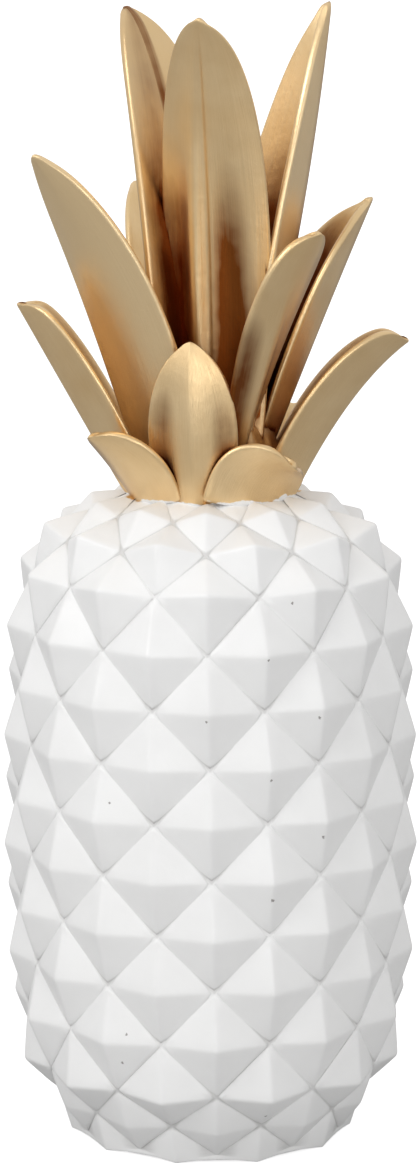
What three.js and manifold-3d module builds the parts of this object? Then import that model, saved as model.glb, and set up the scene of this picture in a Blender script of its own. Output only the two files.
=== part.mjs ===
// A cast pineapple ornament: a barrel of pyramid scales on a flat foot, with a crown of fleshy leaves.
// Millimetres, +Z up. The origin is the middle of the flat foot, and the front faces -Y.
// Turns are degrees round the axis, 0 at the front, growing towards +X.

import * as THREE from "three";
import { mergeVertices } from "three/addons/utils/BufferGeometryUtils.js";
import Module from "manifold-3d";

const wasm = await Module();
wasm.setup();

// Fruit: the grooves between the scales lie on this outline
const fruitHeight = 175.5;
const grooveRadius = 52.8;
const footRadius = 37.5;
const collarRadius = 20;
const heelShares = [
  [0.785, 0.056],
  [0.915, 0.122],
  [0.968, 0.24],
];
const shoulderShares = [
  [1, 0.48],
  [0.978, 0.72],
  [0.925, 0.865],
  [0.775, 0.94],
  [0.585, 0.978],
];

// Scales: each is a four-sided pyramid, one column and two row steps wide and high
const scaleColumns = 11;
const footRows = 2;
const footPitch = 12;
const barrelRows = 9;
const barrelPitch = 14.85;
const shoulderRows = 3;
const shoulderPitch = 12.2;
const footRise = 1.3;
const bellyRise = 3.9;
const shoulderRise = 5;
const heelShare = 0.15;
const bellyShare = 0.55;
const shoulderShare = 0.9;
const frontTurn = 2.6;
const twistPerRow = -0.35;
const topSwell = 1.5;

// Crown: its height above the fruit, and the stub that carries the leaves
const crownHeight = 129;
const stubRadius = 19;
const stubHeight = 30;
const stubDepth = 6;
const stubSides = 22;
const stubSteps = 8;

// Leaves: all of them, and then what each tier has unless a leaf says otherwise
const rootDepth = 3;
const edgeThickness = 1.4;
const creaseShare = 1 / 3;
const tipBluntness = 0.8;
const leafStations = 11;
const faceSpans = 6;
const innerRoot = 7.5;
const innerThickness = 3.6;
const middleRoot = 12;
const middleThickness = 3.4;
const lowerRoot = 19;
const lowerThickness = 3;
const inner = { root: innerRoot, thickness: innerThickness, baseShare: 0.72, widestAt: 0.38, cup: 0.33 };
const middle = { root: middleRoot, thickness: middleThickness, baseShare: 0.72, widestAt: 0.38, cup: 0.32 };
const lower = { root: lowerRoot, thickness: lowerThickness, baseShare: 0.85, widestAt: 0.36, cup: 0.34 };

// Each leaf: its turn and the further turn of its tip, the radius and height above the fruit of the
// point that its spine bends towards and of its tip, its width and its roll. The radii, heights and
// widths are shares of the crown's height. A leaf may have a cup of its own, and a rib that stands out
// of its outer face or sinks into it, a share of its thickness
const innerLeaves = [
  { turn: 6, sway: -13, bend: [0.039, 0.705], tip: [0.209, 0.969], width: 0.24, roll: -20, rib: -0.25 },
  { turn: -124, sway: -1, bend: [0.109, 0.729], tip: [0.233, 0.984], width: 0.233, roll: -11, rib: -0.22 },
  { turn: 118, sway: 3, bend: [0.14, 0.636], tip: [0.279, 1], width: 0.217, roll: 10, rib: -0.22 },
];
const middleLeaves = [
  { turn: -66, sway: 1, bend: [0.194, 0.426], tip: [0.395, 0.698], width: 0.233, roll: 15 },
  { turn: 36, sway: 4, bend: [0.248, 0.442], tip: [0.341, 0.55], width: 0.202, roll: 0 },
  { turn: 110, sway: -1, bend: [0.225, 0.357], tip: [0.357, 0.597], width: 0.217, roll: 13 },
  { turn: 166, sway: 2, bend: [0.171, 0.403], tip: [0.318, 0.574], width: 0.209, roll: 0 },
  { turn: -156, sway: 1, bend: [0.186, 0.403], tip: [0.388, 0.612], width: 0.194, roll: 2 },
];
const lowerLeaves = [
  { turn: -94, sway: 5, bend: [0.302, 0.225], tip: [0.395, 0.388], width: 0.217, roll: -11, cup: 0.26 },
  { turn: -51, sway: 0, bend: [0.233, 0.085], tip: [0.306, 0.132], width: 0.178, roll: 4 },
  { turn: -3, sway: -8, bend: [0.14, 0.202], tip: [0.194, 0.333], width: 0.186, roll: 9, rib: 0.4 },
  { turn: 43, sway: 7, bend: [0.178, 0.08], tip: [0.244, 0.085], width: 0.217, roll: 8 },
  { turn: 86, sway: 3, bend: [0.271, 0.225], tip: [0.411, 0.31], width: 0.256, roll: 7, cup: 0.45 },
  { turn: 132, sway: 0, bend: [0.202, 0.116], tip: [0.279, 0.147], width: 0.194, roll: 0, rib: 0.27 },
  { turn: 178, sway: -4, bend: [0.163, 0.186], tip: [0.24, 0.271], width: 0.202, roll: 0, rib: 0.3 },
  { turn: -136, sway: 3, bend: [0.202, 0.124], tip: [0.287, 0.163], width: 0.194, roll: 0, rib: 0.27 },
];

// Finish: the white paint of the fruit, which covers most of the piece
const paintColour = 0xf1f0ee;
const paintRoughness = 0.55;
const paintMetalness = 0;

// Points closer than this are one point
const mergeGap = 1e-4;

// The point at a radius, turn and height
function around(radius, turn, height) {
  const angle = THREE.MathUtils.degToRad(turn);
  return new THREE.Vector3(radius * Math.sin(angle), -radius * Math.cos(angle), height);
}

// A closed geometry from points and triangles, its vertices shared
function closedGeometry(points, triangles) {
  const geometry = new THREE.BufferGeometry().setFromPoints(points);
  geometry.setIndex(triangles.flat());
  return geometry;
}

// Two triangles for a quad whose corners run a, b, c, d, split from a to c
function quad(a, b, c, d) {
  return [
    [a, b, c],
    [a, c, d],
  ];
}

// The outline of the grooves, as radius and height, from the foot to the collar
function grooveOutline() {
  const shares = [...heelShares, ...shoulderShares];
  const between = shares.map(([r, z]) => new THREE.Vector2(r * grooveRadius, z * fruitHeight));
  const foot = new THREE.Vector2(footRadius, 0);
  const collar = new THREE.Vector2(collarRadius, fruitHeight);
  return new THREE.SplineCurve([foot, ...between, collar]);
}

// How far along the outline each row lies, as a share of its length
function rowShares() {
  const steps = [
    ...Array(footRows).fill(footPitch),
    ...Array(barrelRows).fill(barrelPitch),
    ...Array(shoulderRows).fill(shoulderPitch),
  ];
  const total = steps.reduce((sum, step) => sum + step, 0);
  let along = 0;
  return [0, ...steps.map((step) => (along += step) / total)];
}

// How far a scale's point stands off the grooves at a share of the outline
function riseAt(share) {
  const low = THREE.MathUtils.smoothstep(share, 0, heelShare);
  const high = THREE.MathUtils.smoothstep(share, bellyShare, shoulderShare);
  const collar = 1 - THREE.MathUtils.smoothstep(share, shoulderShare, 1);
  return (footRise + (bellyRise - footRise) * low + (shoulderRise - bellyRise) * high) * collar;
}

// The fruit: rows of points, by turns in a groove crossing and on the point of a scale
function fruitGeometry() {
  const outline = grooveOutline();
  const shares = rowShares();
  const columns = 2 * scaleColumns;
  const points = [];
  shares.forEach((share, row) => {
    const { x: radius, y: height } = outline.getPointAt(share);
    const along = outline.getTangentAt(share);
    for (let column = 0; column < columns; column++) {
      const onPoint = (row + column) % 2 === 1;
      const rise = onPoint ? riseAt(share) : 0;
      const turn = (360 / columns) * column + frontTurn + twistPerRow * row;
      const lift = row === 0 ? 0 : -rise * along.x;
      points.push(around(radius + rise * along.y, turn, height + lift));
    }
  });
  const at = (row, column) => row * columns + (column % columns);
  const triangles = [];
  for (let row = 0; row + 1 < shares.length; row++) {
    for (let column = 0; column < columns; column++) {
      const [a, b] = [at(row, column), at(row, column + 1)];
      const [d, c] = [at(row + 1, column), at(row + 1, column + 1)];
      const rising = (row + column) % 2 === 0;
      triangles.push(...(rising ? quad(a, b, c, d) : quad(b, c, d, a)));
    }
  }
  const bottom = points.push(around(0, 0, 0)) - 1;
  const top = points.push(around(0, 0, fruitHeight + topSwell)) - 1;
  const last = shares.length - 1;
  for (let column = 0; column < columns; column++) {
    triangles.push([bottom, at(0, column + 1), at(0, column)]);
    triangles.push([top, at(last, column), at(last, column + 1)]);
  }
  return closedGeometry(points, triangles);
}

// The stub: a low dome under the leaves, let into the top of the fruit
function stubGeometry() {
  const dome = new THREE.EllipseCurve(0, 0, stubRadius, stubHeight, 0, Math.PI / 2);
  const profile = dome.getPoints(stubSteps);
  profile[profile.length - 1].x = 0;
  const foot = [new THREE.Vector2(0, -stubDepth), new THREE.Vector2(stubRadius, -stubDepth)];
  const lathe = new THREE.LatheGeometry([...foot, ...profile], stubSides);
  return lathe.rotateX(Math.PI / 2).translate(0, 0, fruitHeight);
}

// Half the width of a leaf at a share of its length, as a share of its greatest
function widthShare(along, { baseShare, widestAt }) {
  if (along < widestAt) {
    return baseShare + (1 - baseShare) * Math.sin(((along / widestAt) * Math.PI) / 2);
  }
  return (1 - ((along - widestAt) / (1 - widestAt)) ** 2) ** tipBluntness;
}

// The section of a leaf as a ring: across the outer face and back along the inner one
function leafRing(middle, face, side, half, taper, { thickness, cup, rib = 0 }) {
  const outerFace = [];
  const innerFace = [];
  for (let span = 0; span <= faceSpans; span++) {
    const across = (2 * span) / faceSpans - 1;
    const crease = Math.max(0, 1 - Math.abs(across) / creaseShare);
    const bulge = rib * thickness * crease * taper - cup * half * across ** 2;
    const body = edgeThickness + (thickness - edgeThickness) * (1 - across ** 2);
    const outer = middle.clone().addScaledVector(side, across * half).addScaledVector(face, bulge);
    outerFace.push(outer);
    innerFace.unshift(outer.clone().addScaledVector(face, -body * taper));
  }
  return [...outerFace, ...innerFace];
}

// One leaf: a cupped blade swept along its spine, blunt at the root and closed to a point at the tip
function leafGeometry(leaf) {
  const { root, turn, sway, bend, tip, width, roll } = leaf;
  const spine = new THREE.QuadraticBezierCurve3(
    around(root, turn, fruitHeight - rootDepth),
    around(bend[0] * crownHeight, turn + sway / 2, fruitHeight + bend[1] * crownHeight),
    around(tip[0] * crownHeight, turn + sway, fruitHeight + tip[1] * crownHeight),
  );
  const outward = around(1, turn + sway / 2, 0);
  const points = [];
  for (let station = 0; station < leafStations; station++) {
    const along = Math.sin(((station / leafStations) * Math.PI) / 2);
    const forward = spine.getTangent(along);
    const face = outward.clone().addScaledVector(forward, -outward.dot(forward)).normalize();
    face.applyAxisAngle(forward, THREE.MathUtils.degToRad(roll));
    const side = forward.clone().cross(face);
    const share = widthShare(along, leaf);
    const half = (width / 2) * crownHeight * share;
    points.push(...leafRing(spine.getPoint(along), face, side, half, Math.sqrt(share), leaf));
  }
  const ringSize = 2 * (faceSpans + 1);
  const at = (station, place) => station * ringSize + (place % ringSize);
  const butt = points.push(spine.getPoint(0).addScaledVector(outward, -leaf.thickness / 2)) - 1;
  const point = points.push(spine.getPoint(1)) - 1;
  const last = leafStations - 1;
  const triangles = [];
  for (let place = 0; place < ringSize; place++) {
    for (let station = 0; station < last; station++) {
      const [a, b] = [at(station, place), at(station, place + 1)];
      const [d, c] = [at(station + 1, place), at(station + 1, place + 1)];
      triangles.push(...quad(a, b, c, d));
    }
    triangles.push([butt, at(0, place + 1), at(0, place)]);
    triangles.push([point, at(last, place), at(last, place + 1)]);
  }
  return closedGeometry(points, triangles);
}

// A closed geometry as a solid that can be joined to others
function solid(geometry) {
  const bare = new THREE.BufferGeometry();
  bare.setAttribute("position", geometry.getAttribute("position"));
  bare.setIndex(geometry.index);
  const merged = mergeVertices(bare, mergeGap);
  const vertProperties = merged.attributes.position.array;
  const triVerts = new Uint32Array(merged.index.array);
  return new wasm.Manifold(new wasm.Mesh({ numProp: 3, vertProperties, triVerts }));
}

// A joined solid back as a geometry
function geometryOf(body) {
  const { vertProperties, triVerts } = body.getMesh();
  const geometry = new THREE.BufferGeometry();
  geometry.setAttribute("position", new THREE.BufferAttribute(vertProperties, 3));
  geometry.setIndex(new THREE.BufferAttribute(triVerts, 1));
  geometry.computeVertexNormals();
  return geometry;
}

const leaves = [
  ...innerLeaves.map((leaf) => ({ ...inner, ...leaf })),
  ...middleLeaves.map((leaf) => ({ ...middle, ...leaf })),
  ...lowerLeaves.map((leaf) => ({ ...lower, ...leaf })),
];
const shapes = [fruitGeometry(), stubGeometry(), ...leaves.map(leafGeometry)];
const casting = shapes.map(solid).reduce((joined, next) => joined.add(next));

const finish = new THREE.MeshStandardMaterial({
  color: paintColour,
  roughness: paintRoughness,
  metalness: paintMetalness,
  flatShading: true,
});
const pineapple = new THREE.Mesh(geometryOf(casting), finish);
pineapple.name = "pineapple_casting";

const ornament = new THREE.Group();
ornament.add(pineapple);

export default ornament;
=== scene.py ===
import math

import bmesh
import bpy
from mathutils import Matrix, Vector
from mathutils.bvhtree import BVHTree
from mathutils.kdtree import KDTree


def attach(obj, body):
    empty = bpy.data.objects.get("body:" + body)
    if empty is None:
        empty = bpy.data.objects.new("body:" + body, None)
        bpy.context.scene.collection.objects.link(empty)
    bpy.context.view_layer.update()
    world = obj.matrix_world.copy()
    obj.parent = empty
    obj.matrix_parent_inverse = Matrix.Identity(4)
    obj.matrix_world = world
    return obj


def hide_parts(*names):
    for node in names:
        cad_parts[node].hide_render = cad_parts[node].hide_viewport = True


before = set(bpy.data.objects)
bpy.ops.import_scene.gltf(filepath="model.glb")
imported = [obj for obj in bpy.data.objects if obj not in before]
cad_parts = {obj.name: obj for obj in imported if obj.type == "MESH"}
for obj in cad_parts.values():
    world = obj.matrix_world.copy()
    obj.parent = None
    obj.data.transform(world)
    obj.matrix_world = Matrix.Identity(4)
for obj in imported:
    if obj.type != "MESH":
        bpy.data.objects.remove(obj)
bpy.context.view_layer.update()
print("frame loaded:", sorted(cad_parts))

mm = 0.001
touching = 1e-6  # points closer than this are at the same place


def activate(piece):
    bpy.ops.object.select_all(action="DESELECT")
    piece.select_set(True)
    bpy.context.view_layer.objects.active = piece


def startEditing(piece):
    activate(piece)
    bpy.ops.object.mode_set(mode="EDIT")
    bpy.ops.mesh.select_mode(type="VERT")
    bpy.ops.mesh.select_all(action="SELECT")


def stopEditing():
    bpy.ops.object.mode_set(mode="OBJECT")


def pick(piece, kind, test):
    # kind is verts, edges or faces
    bpy.ops.mesh.select_mode(type={"verts": "VERT", "edges": "EDGE", "faces": "FACE"}[kind])
    bpy.ops.mesh.select_all(action="DESELECT")
    shape = bmesh.from_edit_mesh(piece.data)
    chosen = [part for part in getattr(shape, kind) if test(part)]
    for part in chosen:
        part.select_set(True)
    shape.select_flush_mode()
    bmesh.update_edit_mesh(piece.data, loop_triangles=False, destructive=False)
    return len(chosen)


def turnPicked(degrees, axis, centre):
    # with no window the operator turns the other way
    bpy.ops.transform.rotate(value=-math.radians(degrees), orient_axis=axis, center_override=centre)


def bevelPicked(width, segments):
    bpy.ops.mesh.bevel(offset=width * mm, segments=segments, affect="EDGES")


def addModifier(piece, kind, **settings):
    activate(piece)
    modifier = piece.modifiers.new(kind.lower(), kind)
    for name, value in settings.items():
        setattr(modifier, name, value)


def applyModifiers(piece):
    activate(piece)
    for modifier in list(piece.modifiers):
        bpy.ops.object.modifier_apply(modifier=modifier.name)


def paintWeights(piece, name, weights):
    group = piece.vertex_groups.new(name=name)
    for index, weight in weights.items():
        group.add([index], min(max(weight, 0), 1), "REPLACE")


def keepWeights(piece, label, name):
    # a vertex group becomes an attribute that a material can read
    number = piece.vertex_groups[label].index
    marks = piece.data.attributes.new(name, "FLOAT", "POINT")
    for vertex in piece.data.vertices:
        marks.data[vertex.index].value = sum(g.weight for g in vertex.groups if g.group == number)
    piece.vertex_groups.remove(piece.vertex_groups[label])


def surfaceOf(piece):
    mesh = piece.data
    return BVHTree.FromPolygons([v.co for v in mesh.vertices], [p.vertices for p in mesh.polygons])


def smoothstep(value, low, high):
    share = min(max((value - low) / (high - low), 0), 1)
    return share * share * (3 - 2 * share)


fruit = {
    "height": 175.5,  # lengths in these lists are in millimetres, and angles in degrees
    "grooveRadius": 52.8,
    "footRadius": 37.5,
    "collarRadius": 20,
    "heelShares": [(0.785, 0.056), (0.915, 0.122), (0.968, 0.24)],  # of grooveRadius and height
    "shoulderShares": [(1, 0.48), (0.978, 0.72), (0.925, 0.865), (0.775, 0.94), (0.585, 0.978)],
    "outlineSteps": 40,  # from one of these to the next
    "columns": 11,
    "rowSteps": [12] * 2 + [14.85] * 9 + [12.2] * 3,  # along the outline, stretched to fit it
    "frontTurn": 2.6,  # 0 is the front, and turns grow towards +X
    "twistPerRow": -0.35,
    "footRise": 1.3,  # how far a scale's point stands above its grooves
    "bellyRise": 3.9,
    "shoulderRise": 5,
    "heelShare": 0.15,  # where the rises change, as shares of the outline
    "bellyShare": 0.55,
    "shoulderShare": 0.9,
    "leastRise": 0.01,  # a lower point isn't raised
    "footGap": 1.7,  # between the foot's scallops
    "footDrop": 0.4,  # taken back by the smoothing
    "footRound": 0.6,
    "footSegments": 2,
    "footEdgeAngle": 45.8,
    "stray": 0.2,  # how far the corners stray from a perfect lattice
    "steadyEnds": 0.5,  # nothing strays this close to the foot and the collar
    "seed": 4,
    "grooveHalfWidth": 0.38,
    "grooveSegments": 2,
    "grooveDepth": 0.5,
    "grooveMiddle": 0.3,  # the share of the half width that is sunk
    "grooveLongest": 20,  # no groove between two crossings is longer
    "ridgeHalfWidth": 0.9,
    "ridgeSegments": 3,
    "facetBorder": 0.8,
    "facetArea": 12,  # smaller faces, and those with more corners, get no border
    "facetCorners": 8,
    "smoothLevels": 1,
    "sharpAngle": 55,
}


def grooveOutline():
    # finely spaced points of radius and height, on a smooth line through the stops
    radius, height = fruit["grooveRadius"], fruit["height"]
    stops = [(fruit["footRadius"], 0)]
    stops += [(r * radius, z * height) for r, z in fruit["heelShares"] + fruit["shoulderShares"]]
    stops += [(fruit["collarRadius"], height)]
    stops = [Vector(stop) for stop in [stops[0], *stops, stops[-1]]]
    steps = fruit["outlineSteps"]
    outline = []
    for before, start, end, after in zip(stops, stops[1:], stops[2:], stops[3:]):
        leave, arrive = (end - before) / 2, (after - start) / 2
        for step in range(steps):
            u = step / steps
            bulk = (2 * start - 2 * end + leave + arrive) * u**3
            bulk += (-3 * start + 3 * end - 2 * leave - arrive) * u**2
            outline.append(bulk + leave * u + start)
    outline.append(stops[-1])
    return outline


def outlineRows():
    # each row of corners: its share of the outline, its place and the outline's direction there
    outline = grooveOutline()
    reach = [0]
    for a, b in zip(outline, outline[1:]):
        reach.append(reach[-1] + (b - a).length)
    rows = []
    along = 0
    for step in [0, *fruit["rowSteps"]]:
        along += step
        share = along / sum(fruit["rowSteps"])
        wanted = share * reach[-1]
        k = next(i for i in range(1, len(reach)) if reach[i] >= wanted - touching)
        part = (wanted - reach[k - 1]) / (reach[k] - reach[k - 1])
        direction = (outline[k] - outline[k - 1]).normalized()
        rows.append((share, outline[k - 1].lerp(outline[k], part), direction))
    return rows


def scaleRise(share):
    low = smoothstep(share, 0, fruit["heelShare"])
    high = smoothstep(share, fruit["bellyShare"], fruit["shoulderShare"])
    collar = 1 - smoothstep(share, fruit["shoulderShare"], 1)
    belly = fruit["footRise"] + (fruit["bellyRise"] - fruit["footRise"]) * low
    return (belly + (fruit["shoulderRise"] - fruit["bellyRise"]) * high) * collar


def makeRings(rows):
    # one ring for each row, with a corner for each point and each groove crossing
    radius = fruit["footRadius"] * mm
    bpy.ops.object.select_all(action="DESELECT")
    bpy.ops.mesh.primitive_circle_add(vertices=2 * fruit["columns"], radius=radius, fill_type="NGON")
    piece = bpy.context.object
    piece.name = "fruit"
    startEditing(piece)
    turnPicked(fruit["frontTurn"], "Z", (0, 0, 0))
    for (_, last, _), (_, place, _) in zip(rows, rows[1:]):
        rise = (place.y - last.y) * mm
        bpy.ops.mesh.extrude_region_move(TRANSFORM_OT_translate={"value": (0, 0, rise)})
        centre = (0, 0, place.y * mm)
        size = place.x / last.x
        bpy.ops.transform.resize(value=(size, size, 1), center_override=centre)
        turnPicked(fruit["twistPerRow"], "Z", centre)
    return piece


def findPoints(piece, rows):
    # every second corner of a row is the point of a scale; each is kept with its row
    shape = bmesh.from_edit_mesh(piece.data)
    spacing = 180 / fruit["columns"]
    points = {}
    for row, (_, place, _) in enumerate(rows):
        for v in shape.verts:
            if abs(v.co.z - place.y * mm) > touching:
                continue
            turn = math.degrees(math.atan2(v.co.x, -v.co.y))
            turn -= fruit["frontTurn"] + row * fruit["twistPerRow"]
            if (row + round(turn / spacing)) % 2:
                points[v.index] = row
    return points


def raisePoints(piece, rows, points):
    # outwards, at right angles to the outline; those of the foot stay on the floor
    for row, (share, place, direction) in enumerate(rows):
        rise = scaleRise(share)
        mine = {index for index, pointRow in points.items() if pointRow == row}
        if rise > fruit["leastRise"] and pick(piece, "verts", lambda v: v.index in mine):
            size = (place.x + rise * direction.y) / place.x
            centre = (0, 0, place.y * mm)
            bpy.ops.transform.resize(value=(size, size, 1), center_override=centre)
            if row:
                bpy.ops.transform.translate(value=(0, 0, -rise * direction.x * mm))


def scallopFoot(piece, points):
    standing = {index for index, row in points.items() if row == 0}
    pick(piece, "verts", lambda v: v.co.z < touching and v.index not in standing)
    bpy.ops.transform.translate(value=(0, 0, fruit["footGap"] * mm))
    pick(piece, "verts", lambda v: v.index in standing)
    bpy.ops.transform.translate(value=(0, 0, -fruit["footDrop"] * mm))


def strayCorners(piece):
    foot = (fruit["footGap"] + fruit["steadyEnds"]) * mm
    collar = (fruit["height"] - fruit["steadyEnds"]) * mm
    pick(piece, "verts", lambda v: foot < v.co.z < collar)
    bpy.ops.transform.vertex_random(offset=fruit["stray"] * mm, seed=fruit["seed"])


def offLine(place, a, b):
    span = b - a
    part = min(max((place - a).dot(span) / span.length_squared, 0), 1)
    return (place - a - span * part).length


def isSunk(place, grooves):
    reach = fruit["grooveMiddle"] * fruit["grooveHalfWidth"] * mm
    longest = fruit["grooveLongest"] * mm
    return any((place - a).length < longest and offLine(place, a, b) < reach for a, b in grooves)


def cutGrooves(piece, points):
    # they run from crossing to crossing; the two ends are taken off meanwhile and closed again
    pick(piece, "faces", lambda f: len(f.verts) > 4)
    bpy.ops.mesh.delete(type="ONLY_FACE")
    pick(piece, "verts", lambda v: v.index not in points)
    bpy.ops.mesh.vert_connect()
    pick(piece, "edges", lambda e: e.is_boundary)
    bpy.ops.mesh.edge_face_add()
    shape = bmesh.from_edit_mesh(piece.data)
    shape.verts.ensure_lookup_table()
    pointPlaces = [shape.verts[index].co.copy() for index in points]
    grooves = [
        (a.co.copy(), b.co.copy()) for a, b in (e.verts for e in shape.edges)
        if a.index not in points and b.index not in points
    ]
    pick(piece, "edges", lambda e: not any(v.index in points for v in e.verts))
    bevelPicked(fruit["grooveHalfWidth"], fruit["grooveSegments"])
    pick(piece, "verts", lambda v: isSunk(v.co, grooves))
    bpy.ops.transform.shrink_fatten(value=-fruit["grooveDepth"] * mm)
    piece.vertex_groups.new(name="groove")
    bpy.ops.object.vertex_group_assign()
    return pointPlaces


def softenRidges(piece, pointPlaces):
    # they run from the point of a scale to its corners
    nearest = KDTree(len(pointPlaces))
    for number, place in enumerate(pointPlaces):
        nearest.insert(place, number)
    nearest.balance()
    pick(piece, "edges", lambda e: any(nearest.find(v.co)[2] < touching for v in e.verts))
    bevelPicked(fruit["ridgeHalfWidth"], fruit["ridgeSegments"])


def roundFoot(piece):
    top, sharp = 2 * fruit["footGap"] * mm, math.radians(fruit["footEdgeAngle"])
    pick(piece, "edges", lambda e: max(v.co.z for v in e.verts) < top and e.calc_face_angle(0) > sharp)
    bevelPicked(fruit["footRound"], fruit["footSegments"])


def borderFacets(piece):
    # a border keeps the facets flat when the fruit is smoothed
    least, most = fruit["facetArea"] * mm * mm, fruit["facetCorners"]
    pick(piece, "faces", lambda f: f.calc_area() > least and len(f.verts) <= most)
    bpy.ops.mesh.inset(thickness=fruit["facetBorder"] * mm, use_individual=True)


def makeFruit():
    rows = outlineRows()
    piece = makeRings(rows)
    points = findPoints(piece, rows)
    raisePoints(piece, rows, points)
    scallopFoot(piece, points)
    strayCorners(piece)
    pointPlaces = cutGrooves(piece, points)
    softenRidges(piece, pointPlaces)
    roundFoot(piece)
    borderFacets(piece)
    stopEditing()
    levels = fruit["smoothLevels"]
    addModifier(piece, "SUBSURF", levels=levels, render_levels=levels)
    applyModifiers(piece)
    keepWeights(piece, "groove", "grooved")
    bpy.ops.object.shade_smooth_by_angle(angle=math.radians(fruit["sharpAngle"]))
    return piece


fruitPiece = makeFruit()
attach(fruitPiece, "root")
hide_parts("pineapple_casting")
print("fruit made:", len(fruitPiece.data.polygons), "faces")


crown = {
    "height": 129,  # above the fruit
    "rootDepth": 3,
    "edge": 1.9,  # a leaf's thickness at its sides
    "stations": 12,  # rows along a leaf, closer together towards the tip
    "stationSpread": 80,
    "fineColumns": [0.05, 0.12, 0.22, 0.35, 0.5, 0.66, 0.82, 0.93, 1],  # shares of half the width
    "plainColumns": [0.08, 0.22, 0.42, 0.64, 0.86, 1],
    "spineSteps": 200,
    "curveSteps": 48,
    "cupSpan": (0, 0.6),  # where along a leaf its cup gets its full depth
    "lip": 0.35,  # along the sides of every leaf
    "lipReach": 0.07,
    "lipFade": (0.8, 0.95),
    "reliefFade": 0.1,
    "leastRelief": 0.01,
    "shadeAndLightFade": (-0.25, 0.12),
    "tipShare": 0.13,  # of the full width
    "tipBow": 0.6,
    "bowLimit": 0.7,  # of the last step between rows
    "bowSpan": (0.84, 1),
    "tipBody": 0.75,
    "smoothLevels": 2,
    "stubRadius": 19,
    "stubHeight": 30,
    "stubDepth": 6,
    "stubCorners": 32,
    "stubSteps": 8,
    "stubLumps": 3.4,
    "lumpSize": 5,
    # painted shade all over the stub
    "stubShade": 0.6,
    "hollowReach": 14,
    "hollowRays": 14,
    "hollowStart": 0.15,
    "hollowFade": 0.5,  # a wall at full reach counts for so much less
}
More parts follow.
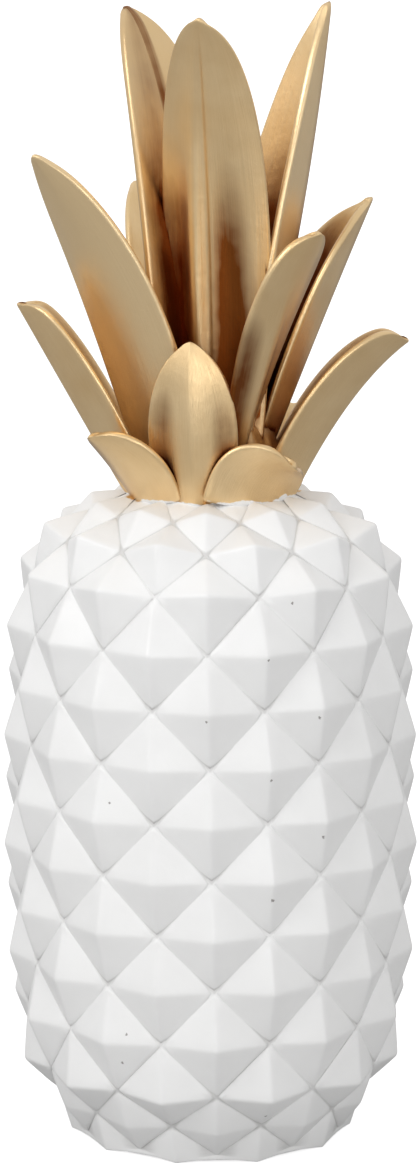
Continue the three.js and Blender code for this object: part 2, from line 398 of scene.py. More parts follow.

# turn, sway and roll are in degrees, and root and body in millimetres; bend and tip are a radius and
# a height above the fruit and, like width, shares of the crown's height; a relief lies at a share of
# the half width, where left is positive, fades over its reach to either side, spans shares of the
# length and rises in millimetres; the last value is painted shade, brown put where the leaves shade
# each other, and painted light where it is below none
anyLeaf = {"roll": 0, "fold": 2, "cupAtRoot": 1, "blunt": 0.66, "widestAt": 0.38, "shadeAndLight": 0, "relief": []}
inner = {**anyLeaf, "root": 7.5, "body": 3.6, "baseShare": 0.72, "cup": 0.33, "columns": "fineColumns"}
middle = {**anyLeaf, "root": 12, "body": 3.4, "baseShare": 0.72, "cup": 0.32, "columns": "plainColumns"}
lower = {
    **anyLeaf, "root": 22, "body": 3, "baseShare": 0.85, "widestAt": 0.36, "cup": 0.34,
    "columns": "plainColumns",
}
leaves = {
    "tallFront": {
        **inner, "turn": 6, "sway": -13, "bend": (0.039, 0.705), "tip": (0.209, 0.969),
        "width": 0.24, "roll": -20, "blunt": 0.56,
        "relief": [
            {"at": 0.08, "reach": 0.055, "rise": -1.2, "span": (0.15, 0.88), "shadeAndLight": 0},
            {"at": 0.28, "reach": 0.13, "rise": 1.3, "span": (0.2, 0.6), "shadeAndLight": 0},
            {"at": 0.7, "reach": 0.24, "rise": -2.2, "span": (0.1, 0.57), "shadeAndLight": 0.25},
            {"at": -0.34, "reach": 0.32, "rise": -2.6, "span": (0.05, 0.57), "shadeAndLight": 1.15},
        ],
    },
    "tallLeft": {
        **inner, "turn": -128, "sway": -1, "bend": (0.065, 0.74), "tip": (0.233, 0.984),
        "width": 0.24, "roll": -11, "cup": 0.3, "fold": 1.25, "shadeAndLight": 0.2,
        "relief": [
            {"at": -0.5, "reach": 0.4, "rise": 0, "span": (0, 1.4), "shadeAndLight": 0.25},
            {"at": 0.03, "reach": 0.1, "rise": -0.5, "span": (0.1, 1.4), "shadeAndLight": 0.45},
        ],
    },
    "tallRight": {
        **inner, "turn": 108, "sway": 3, "bend": (0.205, 0.45), "tip": (0.268, 1),
        "width": 0.25, "cup": 0.8, "fold": 1.25, "cupAtRoot": 0.5,
        "relief": [
            {"at": -0.4, "reach": 0.5, "rise": 0, "span": (0, 0.74), "shadeAndLight": 0.9},
            {"at": 0, "reach": 0.2, "rise": 0, "span": (0, 1.4), "shadeAndLight": 0.7},
            {"at": 0.9, "reach": 0.6, "rise": 0, "span": (0, 0.9), "shadeAndLight": -1},
        ],
    },
    "midLeft": {
        **middle, "turn": -66, "sway": 1, "bend": (0.194, 0.426), "tip": (0.395, 0.698),
        "width": 0.233, "roll": 20, "cup": 0.22, "shadeAndLight": -0.9,
    },
    "midFront": {
        **middle, "turn": 36, "sway": 4, "bend": (0.248, 0.442), "tip": (0.341, 0.55),
        "width": 0.19, "roll": 35, "tipRoll": 6, "root": 9, "baseShare": 0.38, "widestAt": 0.5,
        "cup": 0.25,
        "relief": [
            {"at": 0.2, "reach": 0.2, "rise": 0.8, "span": (0, 0.62), "shadeAndLight": 0},
            {"at": 0.85, "reach": 0.36, "rise": -0.8, "span": (0, 0.55), "shadeAndLight": 1.1},
            {"at": -0.3, "reach": 0.2, "rise": -0.7, "span": (0, 0.42), "shadeAndLight": 0.6},
        ],
    },
    "midRight": {
        **middle, "turn": 108, "sway": -1, "bend": (0.25, 0.36), "tip": (0.355, 0.597),
        "width": 0.2, "roll": -10, "tipRoll": 5, "cup": 0.75, "fold": 1.25, "widestAt": 0.6,
        "baseShare": 0.3, "blunt": 0.95,
        "relief": [{"at": -0.5, "reach": 0.5, "rise": 0, "span": (0, 0.9), "shadeAndLight": 0.85}],
    },
    "midBack": {
        **middle, "turn": 166, "sway": 2, "bend": (0.171, 0.403), "tip": (0.318, 0.574),
        "width": 0.209,
    },
    "midBackLeft": {
        **middle, "turn": -156, "sway": 1, "bend": (0.186, 0.403), "tip": (0.388, 0.612),
        "width": 0.194, "roll": 2,
    },
    "lowLeft": {
        **lower, "turn": -90, "sway": 2, "bend": (0.31, 0.225), "tip": (0.4, 0.388),
        "width": 0.2, "cup": 0.75, "fold": 1.3, "blunt": 0.38,
        "relief": [{"at": 0.6, "reach": 0.4, "rise": 0, "span": (0, 1), "shadeAndLight": 0.35}],
    },
    "lowFrontLeft": {
        **lower, "turn": -46, "sway": -8, "bend": (0.233, 0.085), "tip": (0.306, 0.132),
        "width": 0.178, "roll": 4,
    },
    "lowFront": {
        **lower, "turn": -10, "sway": -2, "bend": (0.24, 0.2), "tip": (0.2, 0.33),
        "width": 0.186, "roll": 5, "fold": 1.2, "baseShare": 0.66,
        "relief": [
            {"at": 0.7, "reach": 0.3, "rise": -0.7, "span": (0, 0.7), "shadeAndLight": 0.6},
            {"at": -0.75, "reach": 0.28, "rise": -0.7, "span": (0, 0.62), "shadeAndLight": 0.7},
        ],
    },
    "lowFrontRight": {
        **lower, "turn": 33, "sway": 12, "bend": (0.178, 0.065), "tip": (0.244, 0.065),
        "width": 0.24, "baseShare": 1, "cup": 0.25,
    },
    "lowRight": {
        **lower, "turn": 86, "sway": 3, "bend": (0.285, 0.215), "tip": (0.411, 0.31),
        "width": 0.22, "cup": 0.75, "fold": 1.3, "blunt": 0.38,
        "relief": [{"at": -0.6, "reach": 0.4, "rise": 0, "span": (0, 1), "shadeAndLight": 0.7}],
    },
    "lowBackRight": {
        **lower, "turn": 132, "sway": 0, "bend": (0.202, 0.116), "tip": (0.279, 0.147),
        "width": 0.194,
    },
    "lowBack": {
        **lower, "turn": 178, "sway": -4, "bend": (0.163, 0.186), "tip": (0.24, 0.271),
        "width": 0.202,
    },
    "lowBackLeft": {
        **lower, "turn": -136, "sway": 3, "bend": (0.202, 0.124), "tip": (0.287, 0.163),
        "width": 0.194,
    },
}


def spineOf(leaf):
    # root, bend and tip in millimetres, lying down: x is the radius, y the height, z to the left
    reach = crown["height"]
    half = math.radians(leaf["sway"] / 2)
    root, tip = leaf["root"], leaf["tip"][0] * reach
    return (
        Vector((root * math.cos(half), -crown["rootDepth"], root * math.sin(half))),
        Vector((leaf["bend"][0] * reach, leaf["bend"][1] * reach, 0)),
        Vector((tip * math.cos(half), leaf["tip"][1] * reach, -tip * math.sin(half))),
    )


def onSpine(spine, share):
    root, bend, tip = spine
    return root * (1 - share) ** 2 + bend * 2 * share * (1 - share) + tip * share**2


def widthShare(leaf, along):
    widest = leaf["widestAt"]
    if along < widest:
        return leaf["baseShare"] + (1 - leaf["baseShare"]) * math.sin(along / widest * math.pi / 2)
    past = min((along - widest) / (1 - widest), 1)
    return max((1 - past**2) ** leaf["blunt"], crown["tipShare"])


def bell(distance, reach):
    return math.exp(-((distance / reach) ** 2))


def reliefAt(leaf, across, along):
    rise = crown["lip"] * bell(1 - abs(across), crown["lipReach"])
    rise *= 1 - smoothstep(along, *crown["lipFade"])
    fade = crown["reliefFade"]
    for form in leaf["relief"]:
        low, high = form["span"]
        strength = smoothstep(along, low - fade, low + fade)
        strength *= 1 - smoothstep(along, high - fade, high + fade)
        rise += form["rise"] * strength * bell(across - form["at"], form["reach"])
    return rise


def shadeAndLightAt(leaf, across, along):
    # painted shade where the leaves shade each other, and painted light where the sum falls below none
    shadeAndLight = leaf["shadeAndLight"]
    before, past = crown["shadeAndLightFade"]
    for form in leaf["relief"]:
        high = form["span"][1]
        strength = 1 - smoothstep(along, high + before, high + past)
        shadeAndLight += form["shadeAndLight"] * strength * bell(across - form["at"], form["reach"])
    return shadeAndLight


def leafRows(leaf):
    # shares along the leaf, reaches along its spine and half widths, one of each for every row
    spine, fine, stations = spineOf(leaf), crown["spineSteps"], crown["stations"]
    steps = [(onSpine(spine, (k + 1) / fine) - onSpine(spine, k / fine)).length for k in range(fine)]
    crowd = math.radians(crown["stationSpread"])
    alongs = [math.sin(k / stations * crowd) / math.sin(crowd) for k in range(stations + 1)]
    reaches = [sum(steps[: round(along * fine)]) for along in alongs]
    halves = [leaf["width"] * crown["height"] / 2 * widthShare(leaf, along) for along in alongs]
    return alongs, reaches, halves


def makeBlank(name, columns):
    # flat, its outer face to -Y; each point is kept with its row and its column
    stations, spans = crown["stations"], 2 * (len(columns) - 1)
    bpy.ops.object.select_all(action="DESELECT")
    bpy.ops.mesh.primitive_grid_add(x_subdivisions=stations, y_subdivisions=spans, size=2)
    blank = bpy.context.object
    blank.name = name
    startEditing(blank)
    turnPicked(90, "X", (0, 0, 0))
    shape = bmesh.from_edit_mesh(blank.data)
    rowOf = {v.index: round((v.co.x + 1) / 2 * stations) for v in shape.verts}
    columnOf = {v.index: round(v.co.z / 2 * spans) for v in shape.verts}
    return blank, rowOf, columnOf


def cupBlank(blank, leaf, columns, columnOf):
    for column, across in enumerate(columns):
        if column:
            pick(blank, "verts", lambda v: abs(columnOf[v.index]) == column)
            size = across * (len(columns) - 1) / column
            bpy.ops.transform.resize(value=(1, 1, size), center_override=(0, 0, 0))
            bpy.ops.transform.translate(value=(0, leaf["cup"] * across ** leaf["fold"], 0))


def spreadRows(blank, leaf, columns, rowOf, columnOf):
    # each row goes to its reach and gets its width; the last ones are bowed round the tip
    stations = crown["stations"]
    alongs, reaches, halves = leafRows(leaf)
    mostBow = crown["bowLimit"] * (reaches[-1] - reaches[-2])
    for row, (along, reach, half) in enumerate(zip(alongs, reaches, halves)):
        pick(blank, "verts", lambda v: rowOf[v.index] == row)
        start = 2 * row / stations - 1
        bpy.ops.transform.translate(value=(reach * mm - start, 0, 0))
        flat = leaf["cupAtRoot"]
        deep = half * (flat + (1 - flat) * smoothstep(along, *crown["cupSpan"]))
        size = (1, deep * mm, half * mm)
        bpy.ops.transform.resize(value=size, center_override=(reach * mm, 0, 0))
        bow = min(crown["tipBow"] * half, mostBow)
        bow *= smoothstep(row / stations, *crown["bowSpan"])
        for column, across in enumerate(columns):
            if bow and column:
                pick(blank, "verts", lambda v: rowOf[v.index] == row and abs(columnOf[v.index]) == column)
                bpy.ops.transform.translate(value=(-bow * across**2 * mm, 0, 0))


def thickenLeaf(blank, leaf, rowOf, acrossOf):
    # ribs, troughs and lips, then a body that is thick along the middle and thin at the edges
    alongs, _, halves = leafRows(leaf)
    relief, body, shadeAndLight = {}, {}, {}
    for i, across in acrossOf.items():
        along = alongs[rowOf[i]]
        relief[i] = reliefAt(leaf, across, along)
        full = crown["edge"] + (leaf["body"] - crown["edge"]) * (1 - across**2)
        body[i] = min(full, crown["tipBody"] * halves[rowOf[i]]) / leaf["body"]
        # painted shade and painted light for the gold paint
        shadeAndLight[i] = 0.5 + shadeAndLightAt(leaf, across, along) / 2  # so 0.5 is none
    for label, sign in (("raised", 1), ("sunk", -1)):
        most = max(max(sign * rise for rise in relief.values()), crown["leastRelief"])
        paintWeights(blank, label, {i: sign * rise / most for i, rise in relief.items()})
        addModifier(blank, "DISPLACE", strength=sign * most * mm, mid_level=0, vertex_group=label)
    paintWeights(blank, "body", body)
    paintWeights(blank, "shadeAndLight", shadeAndLight)
    addModifier(blank, "SOLIDIFY", thickness=leaf["body"] * mm, offset=-1, vertex_group="body")
    addModifier(blank, "SUBSURF", levels=crown["smoothLevels"], render_levels=crown["smoothLevels"])


def bendLeaf(blank, leaf):
    # along its spine, with a tilt that goes from the root's roll to the tip's; handles at two thirds
    # of the way to the bend make it the same curve as onSpine's
    bpy.ops.object.select_all(action="DESELECT")
    bpy.ops.curve.primitive_bezier_curve_add()
    line = bpy.context.object
    line.data.resolution_u = crown["curveSteps"]
    start, end = line.data.splines[0].bezier_points
    root, bend, tip = [point * mm for point in spineOf(leaf)]
    for knot, place, back, ahead, roll in (
        (start, root, root - (bend - root), root.lerp(bend, 2 / 3), leaf["roll"]),
        (end, tip, tip.lerp(bend, 2 / 3), tip + (tip - bend), leaf.get("tipRoll", leaf["roll"])),
    ):
        knot.handle_left_type = knot.handle_right_type = "FREE"
        knot.co, knot.handle_left, knot.handle_right = place, back, ahead
        knot.tilt = math.radians(roll)
    addModifier(blank, "CURVE", object=line, deform_axis="POS_X")
    applyModifiers(blank)
    bpy.data.objects.remove(line)


def standLeaf(blank, leaf):
    turn = math.radians(leaf["turn"] + leaf["sway"] / 2 - 90)
    blank.matrix_world = (
        Matrix.Translation((0, 0, fruit["height"] * mm))
        @ Matrix.Rotation(turn, 4, "Z")
        @ Matrix.Rotation(math.radians(90), 4, "X")
    )
    activate(blank)
    bpy.ops.object.transform_apply(location=True, rotation=True, scale=True)


def makeLeaf(name, leaf):
    columns = [0, *crown[leaf["columns"]]]
    blank, rowOf, columnOf = makeBlank(name, columns)
    acrossOf = {i: math.copysign(columns[abs(column)], column) for i, column in columnOf.items()}
    cupBlank(blank, leaf, columns, columnOf)
    spreadRows(blank, leaf, columns, rowOf, columnOf)
    stopEditing()
    thickenLeaf(blank, leaf, rowOf, acrossOf)
    bendLeaf(blank, leaf)
    standLeaf(blank, leaf)
    for label in ("raised", "sunk", "body"):
        blank.vertex_groups.remove(blank.vertex_groups[label])
    bpy.ops.object.shade_smooth()
    return blank


def makeStub():
    # the lumpy dome between the leaves, which starts inside the fruit
    corners, radius = crown["stubCorners"], crown["stubRadius"] * mm
    bpy.ops.object.select_all(action="DESELECT")
    bpy.ops.mesh.primitive_circle_add(vertices=corners, radius=radius, fill_type="NGON")
    stub = bpy.context.object
    stub.name = "stub"
    startEditing(stub)
    depth, steps = crown["stubDepth"], crown["stubSteps"]
    bpy.ops.transform.translate(value=(0, 0, (fruit["height"] - depth) * mm))
    bpy.ops.mesh.extrude_region_move(TRANSFORM_OT_translate={"value": (0, 0, depth * mm)})
    for step in range(1, steps + 1):
        # half a step short of the pole, so that the top stays a small face
        angle, last = (math.radians(90 * k / (steps + 0.5)) for k in (step, step - 1))
        rise = crown["stubHeight"] * (math.sin(angle) - math.sin(last)) * mm
        bpy.ops.mesh.extrude_region_move(TRANSFORM_OT_translate={"value": (0, 0, rise)})
        size = math.cos(angle) / math.cos(last)
        bpy.ops.transform.resize(value=(size, size, 1), center_override=(0, 0, 0))
    stopEditing()
    lumps = bpy.data.textures.new("lumps", "CLOUDS")
    lumps.noise_scale = crown["lumpSize"] * mm
    addModifier(stub, "SUBSURF", levels=crown["smoothLevels"], render_levels=crown["smoothLevels"])
    addModifier(stub, "DISPLACE", texture=lumps, strength=crown["stubLumps"] * mm, mid_level=0.5)
    applyModifiers(stub)
    # painted shade all over the stub, deep between the leaves
    paintWeights(stub, "shadeAndLight", {v.index: crown["stubShade"] for v in stub.data.vertices})
    bpy.ops.object.shade_smooth()
    return stub


def markHollows(piece):
    # how deep each point of the crown lies between the leaves, from rays cast around its normal, for
    # painted shade
    walls = surfaceOf(piece)
    reach, rays = crown["hollowReach"] * mm, crown["hollowRays"]
    goldenTurn = math.pi * (3 - math.sqrt(5))
    fan = []
    for k in range(rays):
        rise = math.sqrt(1 - (k + 0.5) / rays)
        spin = k * goldenTurn
        out = math.sqrt(1 - rise * rise)
        fan.append(Vector((out * math.cos(spin), out * math.sin(spin), rise)))
    hollow = piece.data.attributes.new("hollow", "FLOAT", "POINT")
    for vertex in piece.data.vertices:
        normal = vertex.normal
        start = vertex.co + normal * crown["hollowStart"] * mm
        turned = normal.to_track_quat("Z", "Y")
        met = 0
        for ray in fan:
            distance = walls.ray_cast(start, turned @ ray, reach)[3]
            if distance is not None:
                met += 1 - crown["hollowFade"] * distance / reach
        hollow.data[vertex.index].value = met / rays


def makeCrown():
    growths = [makeStub()] + [makeLeaf(name, leaf) for name, leaf in leaves.items()]
    bpy.ops.object.select_all(action="DESELECT")
    for growth in growths:
        growth.select_set(True)
    bpy.context.view_layer.objects.active = growths[0]
    bpy.ops.object.join()
    piece = bpy.context.object
    piece.name = "crown"
    markHollows(piece)
    keepWeights(piece, "shadeAndLight", "paintedShadeAndLight")
    return piece


crownPiece = makeCrown()
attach(crownPiece, "root")
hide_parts("pineapple_casting")
print("crown made:", len(crownPiece.data.polygons), "faces")


def addNode(tree, kind, settings, inputs):
    node = tree.nodes.new(kind)
    for name, value in settings.items():
        setattr(node, name, value)
    for name, value in inputs.items():
        if isinstance(value, bpy.types.NodeSocket):
            tree.links.new(value, node.inputs[name])
        else:
            node.inputs[name].default_value = value
    return node


def mathNode(tree, operation, *values):
    inputs = dict(enumerate(values))
    return addNode(tree, "ShaderNodeMath", {"operation": operation}, inputs).outputs[0]


def vectorNode(tree, operation, *values, result="Value"):
    inputs = dict(enumerate(values))
    return addNode(tree, "ShaderNodeVectorMath", {"operation": operation}, inputs).outputs[result]


def noiseNode(tree, vector, **inputs):
    return addNode(tree, "ShaderNodeTexNoise", {}, {"Vector": vector, **inputs}).outputs[0]


def bumpNode(tree, height, strength, distance):
    inputs = {"Strength": strength, "Distance": distance * mm, "Height": height}
    return addNode(tree, "ShaderNodeBump", {}, inputs).outputs[0]


def effectNode(tree, group, vector, **inputs):
    settings = {"node_tree": group}
    return addNode(tree, "ShaderNodeGroup", settings, {"Vector": vector, **inputs}).outputs


def attributeNode(tree, name):
    return addNode(tree, "ShaderNodeAttribute", {"attribute_name": name}, {}).outputs["Fac"]


def ranged(tree, value, span, result=(0, 1)):
    inputs = dict(enumerate([value, *span, *result]))
    return addNode(tree, "ShaderNodeMapRange", {}, inputs).outputs[0]


def mixed(tree, factor, first, second):
    inputs = {0: factor, 6: first, 7: second}
    return addNode(tree, "ShaderNodeMix", {"data_type": "RGBA"}, inputs).outputs[2]


def offAxis(tree, vector):
    # how far a point is from the upright axis
    flat = vectorNode(tree, "MULTIPLY", vector, (1, 1, 0), result="Vector")
    return vectorNode(tree, "LENGTH", flat)


def makeGroup(name, values, results):
    # every effect takes a vector, and besides it these values with their defaults
    group = bpy.data.node_groups.new(name, "ShaderNodeTree")
    group.interface.new_socket("Vector", in_out="INPUT", socket_type="NodeSocketVector")
    for label, value in values.items():
        socket = group.interface.new_socket(label, in_out="INPUT", socket_type="NodeSocketFloat")
        socket.default_value = value
    for label in results:
        group.interface.new_socket(label, in_out="OUTPUT", socket_type="NodeSocketFloat")
    given = group.nodes.new("NodeGroupInput").outputs
    out = group.nodes.new("NodeGroupOutput").inputs
    return group, given, out


paintLine = {  # the ragged edge of the gold, where it was brushed over the white
    "height": 174.75,
    "tilt": (-0.012, 0.02),
    "ragged": 1.1,
    "raggedScale": 170,
    "raggedDetail": 4,
    "raggedSpan": (0.25, 0.75),
    "soft": 0.12,
    "reach": 24,  # from the axis; past it there is no gold
    "reachFade": 6,
}


def makeLineGroup():
    group, given, out = makeGroup("paintLine", {}, ["Gold"])
    upwards = (*paintLine["tilt"], 1)
    level = vectorNode(group, "DOT_PRODUCT", given["Vector"], upwards)
    coarse = noiseNode(
        group, given["Vector"], Scale=paintLine["raggedScale"], Detail=paintLine["raggedDetail"]
    )
    ragged = paintLine["ragged"] * mm
    level = mathNode(group, "ADD", level, ranged(group, coarse, paintLine["raggedSpan"], (-ragged, ragged)))
    reach, fade = paintLine["reach"] * mm, paintLine["reachFade"] * mm
    past = ranged(group, offAxis(group, given["Vector"]), (reach, reach + fade), (0, fade))
    level = mathNode(group, "SUBTRACT", level, past)
    line, soft = paintLine["height"] * mm, paintLine["soft"] * mm
    group.links.new(ranged(group, level, (line - soft, line + soft)), out["Gold"])
    return group


brushGrain = {
    "fineDetail": 5,
    "broadScale": 0.11,  # times the fine one
    "broadDetail": 3,
}


def makeGrainGroup():
    group, given, out = makeGroup("brushGrain", {"Scale": 400}, ["Fine", "Broad"])
    scale = mathNode(group, "MULTIPLY", given["Scale"], brushGrain["broadScale"])
    fine = noiseNode(group, given["Vector"], Scale=given["Scale"], Detail=brushGrain["fineDetail"])
    broad = noiseNode(group, given["Vector"], Scale=scale, Detail=brushGrain["broadDetail"])
    group.links.new(fine, out["Fine"])
    group.links.new(broad, out["Broad"])
    return group


chips = {  # the small dark specks, each with its turn, height and radius
    "specks": [
        (25, 152.7, 0.35), (15.8, 139.2, 0.3), (30.9, 123, 0.42), (-1, 123.6, 0.3),
        (16.5, 107.9, 0.38), (-29, 100.5, 0.33), (32, 91.4, 0.4), (17, 76, 0.45),
        (-27, 30.2, 0.4), (-25, 38.5, 0.34), (18.5, 15, 0.36),
    ],
    "castFrom": 100,
    "ragged": 0.4,
    "raggedScale": 2500,
    "raggedDetail": 1,
    "raggedSpan": (0.3, 0.7),
    "edge": (1.15, 0.7),  # times the radius
    "nowhere": 9,  # times the radius, past every speck's edge
}


def speckPlaces():
    # each speck's place on the surface, and its radius
    walls = surfaceOf(fruitPiece)
    places = []
    for turn, height, radius in chips["specks"]:
        out = Vector((math.sin(math.radians(turn)), -math.cos(math.radians(turn)), 0))
        start = out * chips["castFrom"] * mm + Vector((0, 0, height * mm))
        places.append((walls.ray_cast(start, -out)[0], radius * mm))
    return places


def makeChipGroup():
    group, given, out = makeGroup("chipMarks", {}, ["Mark"])
    wobble = noiseNode(
        group, given["Vector"], Scale=chips["raggedScale"], Detail=chips["raggedDetail"]
    )
    nearest = chips["nowhere"]
    for spot, radius in speckPlaces():
        away = vectorNode(group, "DISTANCE", given["Vector"], spot)
        nearest = mathNode(group, "MINIMUM", nearest, mathNode(group, "DIVIDE", away, radius))
    ragged = ranged(group, wobble, chips["raggedSpan"], (-chips["ragged"], chips["ragged"]))
    edge = mathNode(group, "ADD", nearest, ragged)
    group.links.new(ranged(group, edge, chips["edge"]), out["Mark"])
    return group


lineGroup = makeLineGroup()
grainGroup = makeGrainGroup()
chipGroup = makeChipGroup()


def startMaterial(name):
    material = bpy.data.materials.new(name)
    material.use_nodes = True
    tree = material.node_tree
    coords = addNode(tree, "ShaderNodeTexCoord", {}, {}).outputs
    return material, tree, coords, tree.nodes["Principled BSDF"]


goldPaint = {
    "colour": (0.79, 0.55, 0.275, 1),
    "wornAndLitColour": (0.91, 0.69, 0.4, 1),
    "paintedShadeColour": (0.21, 0.062, 0.012, 1),
    "streakStretch": (2.5, 34, 1),  # along and across a leaf
    "streaks": {"Scale": 2.2, "Detail": 5, "Roughness": 0.62, "Distortion": 0.4},
    "grainScale": 700,
    "heartSpan": (10, 21),  # from the axis; the painted shade in the hollows is browner towards it
    "heartBrown": (0.95, 0.15),
    "creviceSpan": (0.6, 0.85),  # of the hollow mark
    "creviceBrown": (0, 0.5),
    "shadeAndLightBrown": 0.75,
    "patchSpan": (0.2, 0.8),
    "patchBrown": (0.7, 1.3),
    "streakSpan": (0.25, 0.75),
    "streakBrown": (0.93, 1.07),
    "brownSpan": (0.13, 0.62),
    "rimBlend": 0.5,
    "rimSpan": (0.72, 1),
    "rimBrown": (0, 0.75),
    "wornStreaks": 0.5,
    "wornAndLitSpan": (0.4, 1.1),
    "metal": 0.9,
    "metalSpan": (0, 0.4),  # of the painted shade, whose brown is all metal
    "roughSpan": (0.3, 0.7),
    "roughness": (0.29, 0.42),
    "fineBump": 0.5,
    "broadBump": 1.6,
    "bumpStrength": 0.35,
    "bumpDistance": 0.35,
}


def goldPaintedShade(tree, coords, grain, streaks, paintedShadeAndLight):
    # painted shade: brown in the hollows near the middle, in deep crevices and where the leaves shade each
    # other
    hollow = attributeNode(tree, "hollow")
    heart = [radius * mm for radius in goldPaint["heartSpan"]]
    inward = ranged(tree, offAxis(tree, coords["Object"]), heart, goldPaint["heartBrown"])
    crevice = ranged(tree, hollow, goldPaint["creviceSpan"], goldPaint["creviceBrown"])
    paintedShade = mathNode(tree, "ADD", mathNode(tree, "MULTIPLY", hollow, inward), crevice)
    most = goldPaint["shadeAndLightBrown"]
    paintedShade = mathNode(tree, "ADD", paintedShade, ranged(tree, paintedShadeAndLight, (0, 1), (-most, most)))
    patches = ranged(tree, grain["Broad"], goldPaint["patchSpan"], goldPaint["patchBrown"])
    paintedShade = mathNode(tree, "MULTIPLY", paintedShade, patches)
    lines = ranged(tree, streaks, goldPaint["streakSpan"], goldPaint["streakBrown"])
    paintedShade = mathNode(tree, "MULTIPLY", paintedShade, lines)
    return ranged(tree, paintedShade, goldPaint["brownSpan"])


def makeGold():
    material, tree, coords, shader = startMaterial("goldPaint")
    onGold = effectNode(tree, lineGroup, coords["Object"])["Gold"]
    stretch = {"Vector": coords["UV"], "Scale": goldPaint["streakStretch"]}
    along = addNode(tree, "ShaderNodeMapping", {}, stretch).outputs[0]
    streaks = noiseNode(tree, along, **goldPaint["streaks"])
    grain = effectNode(tree, grainGroup, coords["Object"], Scale=goldPaint["grainScale"])
    paintedShadeAndLight = attributeNode(tree, "paintedShadeAndLight")
    # painted shade: browner where the surface turns away from the view, a dark line along the outlines
    rim = addNode(tree, "ShaderNodeLayerWeight", {}, {"Blend": goldPaint["rimBlend"]}).outputs["Facing"]
    rim = ranged(tree, rim, goldPaint["rimSpan"], goldPaint["rimBrown"])
    paintedShade = mathNode(tree, "MAXIMUM", goldPaintedShade(tree, coords, grain, streaks, paintedShadeAndLight), rim)

    # lighter where the streaks are worn, and painted light where the shading weights fall below none
    streaky = mathNode(tree, "MULTIPLY", streaks, goldPaint["wornStreaks"])
    mottled = mathNode(tree, "ADD", grain["Broad"], streaky)
    mottled = mathNode(tree, "ADD", mottled, ranged(tree, paintedShadeAndLight, (0, 0.5), (1, 0)))
    wornAndLit = ranged(tree, mottled, goldPaint["wornAndLitSpan"])
    colour = mixed(tree, wornAndLit, goldPaint["colour"], goldPaint["wornAndLitColour"])
    colour = mixed(tree, paintedShade, colour, goldPaint["paintedShadeColour"])
    colour = mixed(tree, onGold, whitePaint["colour"], colour)
    tree.links.new(colour, shader.inputs["Base Color"])
    metal = ranged(tree, paintedShade, goldPaint["metalSpan"], (goldPaint["metal"], 1))
    tree.links.new(mathNode(tree, "MULTIPLY", onGold, metal), shader.inputs["Metallic"])
    rough = ranged(tree, streaks, goldPaint["roughSpan"], goldPaint["roughness"])
    tree.links.new(rough, shader.inputs["Roughness"])
    fine = mathNode(tree, "MULTIPLY", grain["Fine"], goldPaint["fineBump"])
    broad = mathNode(tree, "MULTIPLY", grain["Broad"], goldPaint["broadBump"])
    relief = mathNode(tree, "ADD", mathNode(tree, "ADD", streaks, fine), broad)
    bump = bumpNode(tree, relief, goldPaint["bumpStrength"], goldPaint["bumpDistance"])
    tree.links.new(bump, shader.inputs["Normal"])
    return material


whitePaint = {
    "colour": (0.9, 0.898, 0.893, 1),
    "shadeColour": (0.8, 0.797, 0.79, 1),
    "grooveShadeColour": (0.64, 0.635, 0.625, 1),
    "chipColour": (0.33, 0.31, 0.3, 1),
    "grainScale": 600,
    "unevenSpan": (0.3, 0.8),
    "uneven": (0, 0.5),
    "grooveSpan": (0.45, 1),  # of the groove mark
    "patchSpan": (0.2, 0.6),
    "roughSpan": (0.3, 0.7),
    "roughness": (0.36, 0.5),
    "fineBump": 0.35,
    "bumpStrength": 0.25,
    "bumpDistance": 0.4,
}


def makeWhite():
    material, tree, coords, shader = startMaterial("whitePaint")
    onGold = effectNode(tree, lineGroup, coords["Object"])["Gold"]
    grain = effectNode(tree, grainGroup, coords["Object"], Scale=whitePaint["grainScale"])
    uneven = ranged(tree, grain["Broad"], whitePaint["unevenSpan"], whitePaint["uneven"])
    colour = mixed(tree, uneven, whitePaint["colour"], whitePaint["shadeColour"])
    # painted shade: greyer along the grooves between the scales, more in some patches
    groove = ranged(tree, attributeNode(tree, "grooved"), whitePaint["grooveSpan"])
    patches = ranged(tree, grain["Broad"], whitePaint["patchSpan"])
    grooveShade = mathNode(tree, "MULTIPLY", groove, patches)
    colour = mixed(tree, grooveShade, colour, whitePaint["grooveShadeColour"])
    chipped = effectNode(tree, chipGroup, coords["Object"])["Mark"]
    colour = mixed(tree, chipped, colour, whitePaint["chipColour"])
    colour = mixed(tree, onGold, colour, goldPaint["colour"])
    tree.links.new(colour, shader.inputs["Base Color"])
    tree.links.new(onGold, shader.inputs["Metallic"])
    rough = ranged(tree, grain["Broad"], whitePaint["roughSpan"], whitePaint["roughness"])
    tree.links.new(rough, shader.inputs["Roughness"])
    fine = mathNode(tree, "MULTIPLY", grain["Fine"], whitePaint["fineBump"])
    relief = mathNode(tree, "ADD", fine, grain["Broad"])
    bump = bumpNode(tree, relief, whitePaint["bumpStrength"], whitePaint["bumpDistance"])
    tree.links.new(bump, shader.inputs["Normal"])
    return material


for piece, material in ((crownPiece, makeGold()), (fruitPiece, makeWhite())):
    piece.data.materials.clear()
    piece.data.materials.append(material)
print("paints made")


studio = {  # places and sizes in metres, the lens and its sensor in millimetres
    "floorSize": 60,
    "floorColour": (0.4, 0.4, 0.4, 1),
    "floorRoughness": 0.5,
    "floorGlow": 0.84,
    "glowColour": (1, 1, 1, 1),
    "worldColour": (1, 1, 1, 1),
    "worldStrength": (0.68, 0.86),  # in front and behind
    "keyPlace": (-1.35, -1.2, 1.55),
    "keySize": 1.2,
    "keyPower": 15,
    "frontPlace": (0.5, -2.1, 0.45),
    "frontSize": 1.6,
    "frontPower": 12,
    "aim": (0, 0, 0.15),
    "cameraPlace": (-0.0001, -0.99, 0.3228),
    "cameraPitch": 80.074,
    "cameraLens": 115.02,
    "sensor": 36,
}


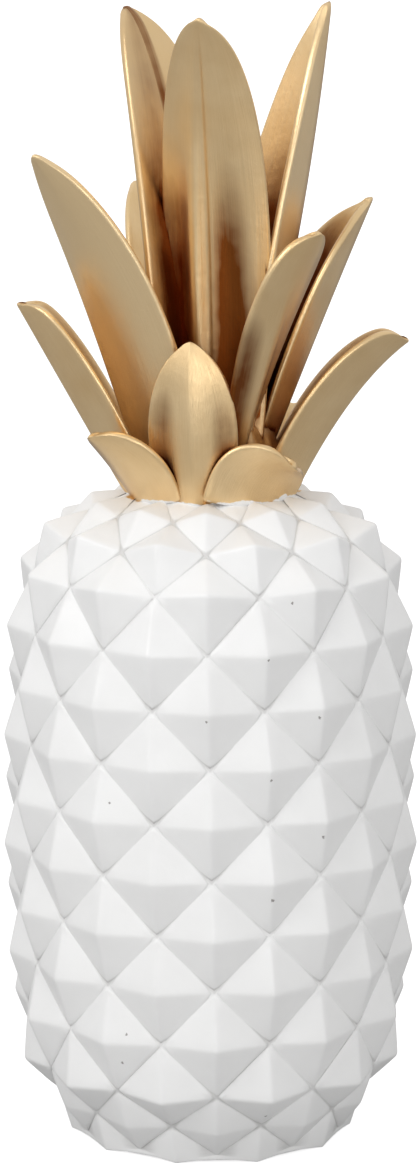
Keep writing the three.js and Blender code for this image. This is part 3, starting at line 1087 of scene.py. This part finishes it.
def makeFloor():
    # its glow shows to the camera alone, and lights nothing
    bpy.ops.object.select_all(action="DESELECT")
    bpy.ops.mesh.primitive_plane_add(size=studio["floorSize"])
    floor = bpy.context.object
    floor.name = "floor"
    material, tree, _, shader = startMaterial("floorPaint")
    shader.inputs["Base Color"].default_value = studio["floorColour"]
    shader.inputs["Roughness"].default_value = studio["floorRoughness"]
    shader.inputs["Emission Color"].default_value = studio["glowColour"]
    seen = addNode(tree, "ShaderNodeLightPath", {}, {}).outputs["Is Camera Ray"]
    glow = mathNode(tree, "MULTIPLY", seen, studio["floorGlow"])
    tree.links.new(glow, shader.inputs["Emission Strength"])
    floor.data.materials.append(material)


def makeWorld():
    # brighter behind than in front, and plain white to the camera
    world = bpy.data.worlds.new("studio")
    world.use_nodes = True
    tree = world.node_tree
    background = tree.nodes["Background"]
    background.inputs["Color"].default_value = studio["worldColour"]
    aim = addNode(tree, "ShaderNodeTexCoord", {}, {}).outputs["Generated"]
    depth = addNode(tree, "ShaderNodeSeparateXYZ", {}, {0: aim}).outputs["Y"]
    glow = ranged(tree, depth, (-1, 1), studio["worldStrength"])
    seen = addNode(tree, "ShaderNodeLightPath", {}, {}).outputs["Is Camera Ray"]
    tree.links.new(mathNode(tree, "MAXIMUM", glow, seen), background.inputs["Strength"])
    bpy.context.scene.world = world


def makeLight(name):
    spot = studio[name + "Place"]
    bpy.ops.object.light_add(type="AREA", location=spot)
    lamp = bpy.context.object
    lamp.name = name + "Light"
    lamp.data.shape = "DISK"
    lamp.data.size = studio[name + "Size"]
    lamp.data.energy = studio[name + "Power"]
    aim = Vector(studio["aim"]) - Vector(spot)
    lamp.rotation_euler = aim.to_track_quat("-Z", "Y").to_euler()


def makeCamera():
    pitch = math.radians(studio["cameraPitch"])
    bpy.ops.object.camera_add(location=studio["cameraPlace"], rotation=(pitch, 0, 0))
    camera = bpy.context.object
    camera.name = "camera"
    camera.data.sensor_fit = "VERTICAL"
    camera.data.sensor_height = studio["sensor"]
    camera.data.lens = studio["cameraLens"]
    bpy.context.scene.camera = camera


makeFloor()
makeWorld()
makeLight("key")
makeLight("front")
makeCamera()
bpy.context.scene.view_settings.view_transform = "Standard"
print("stage set")
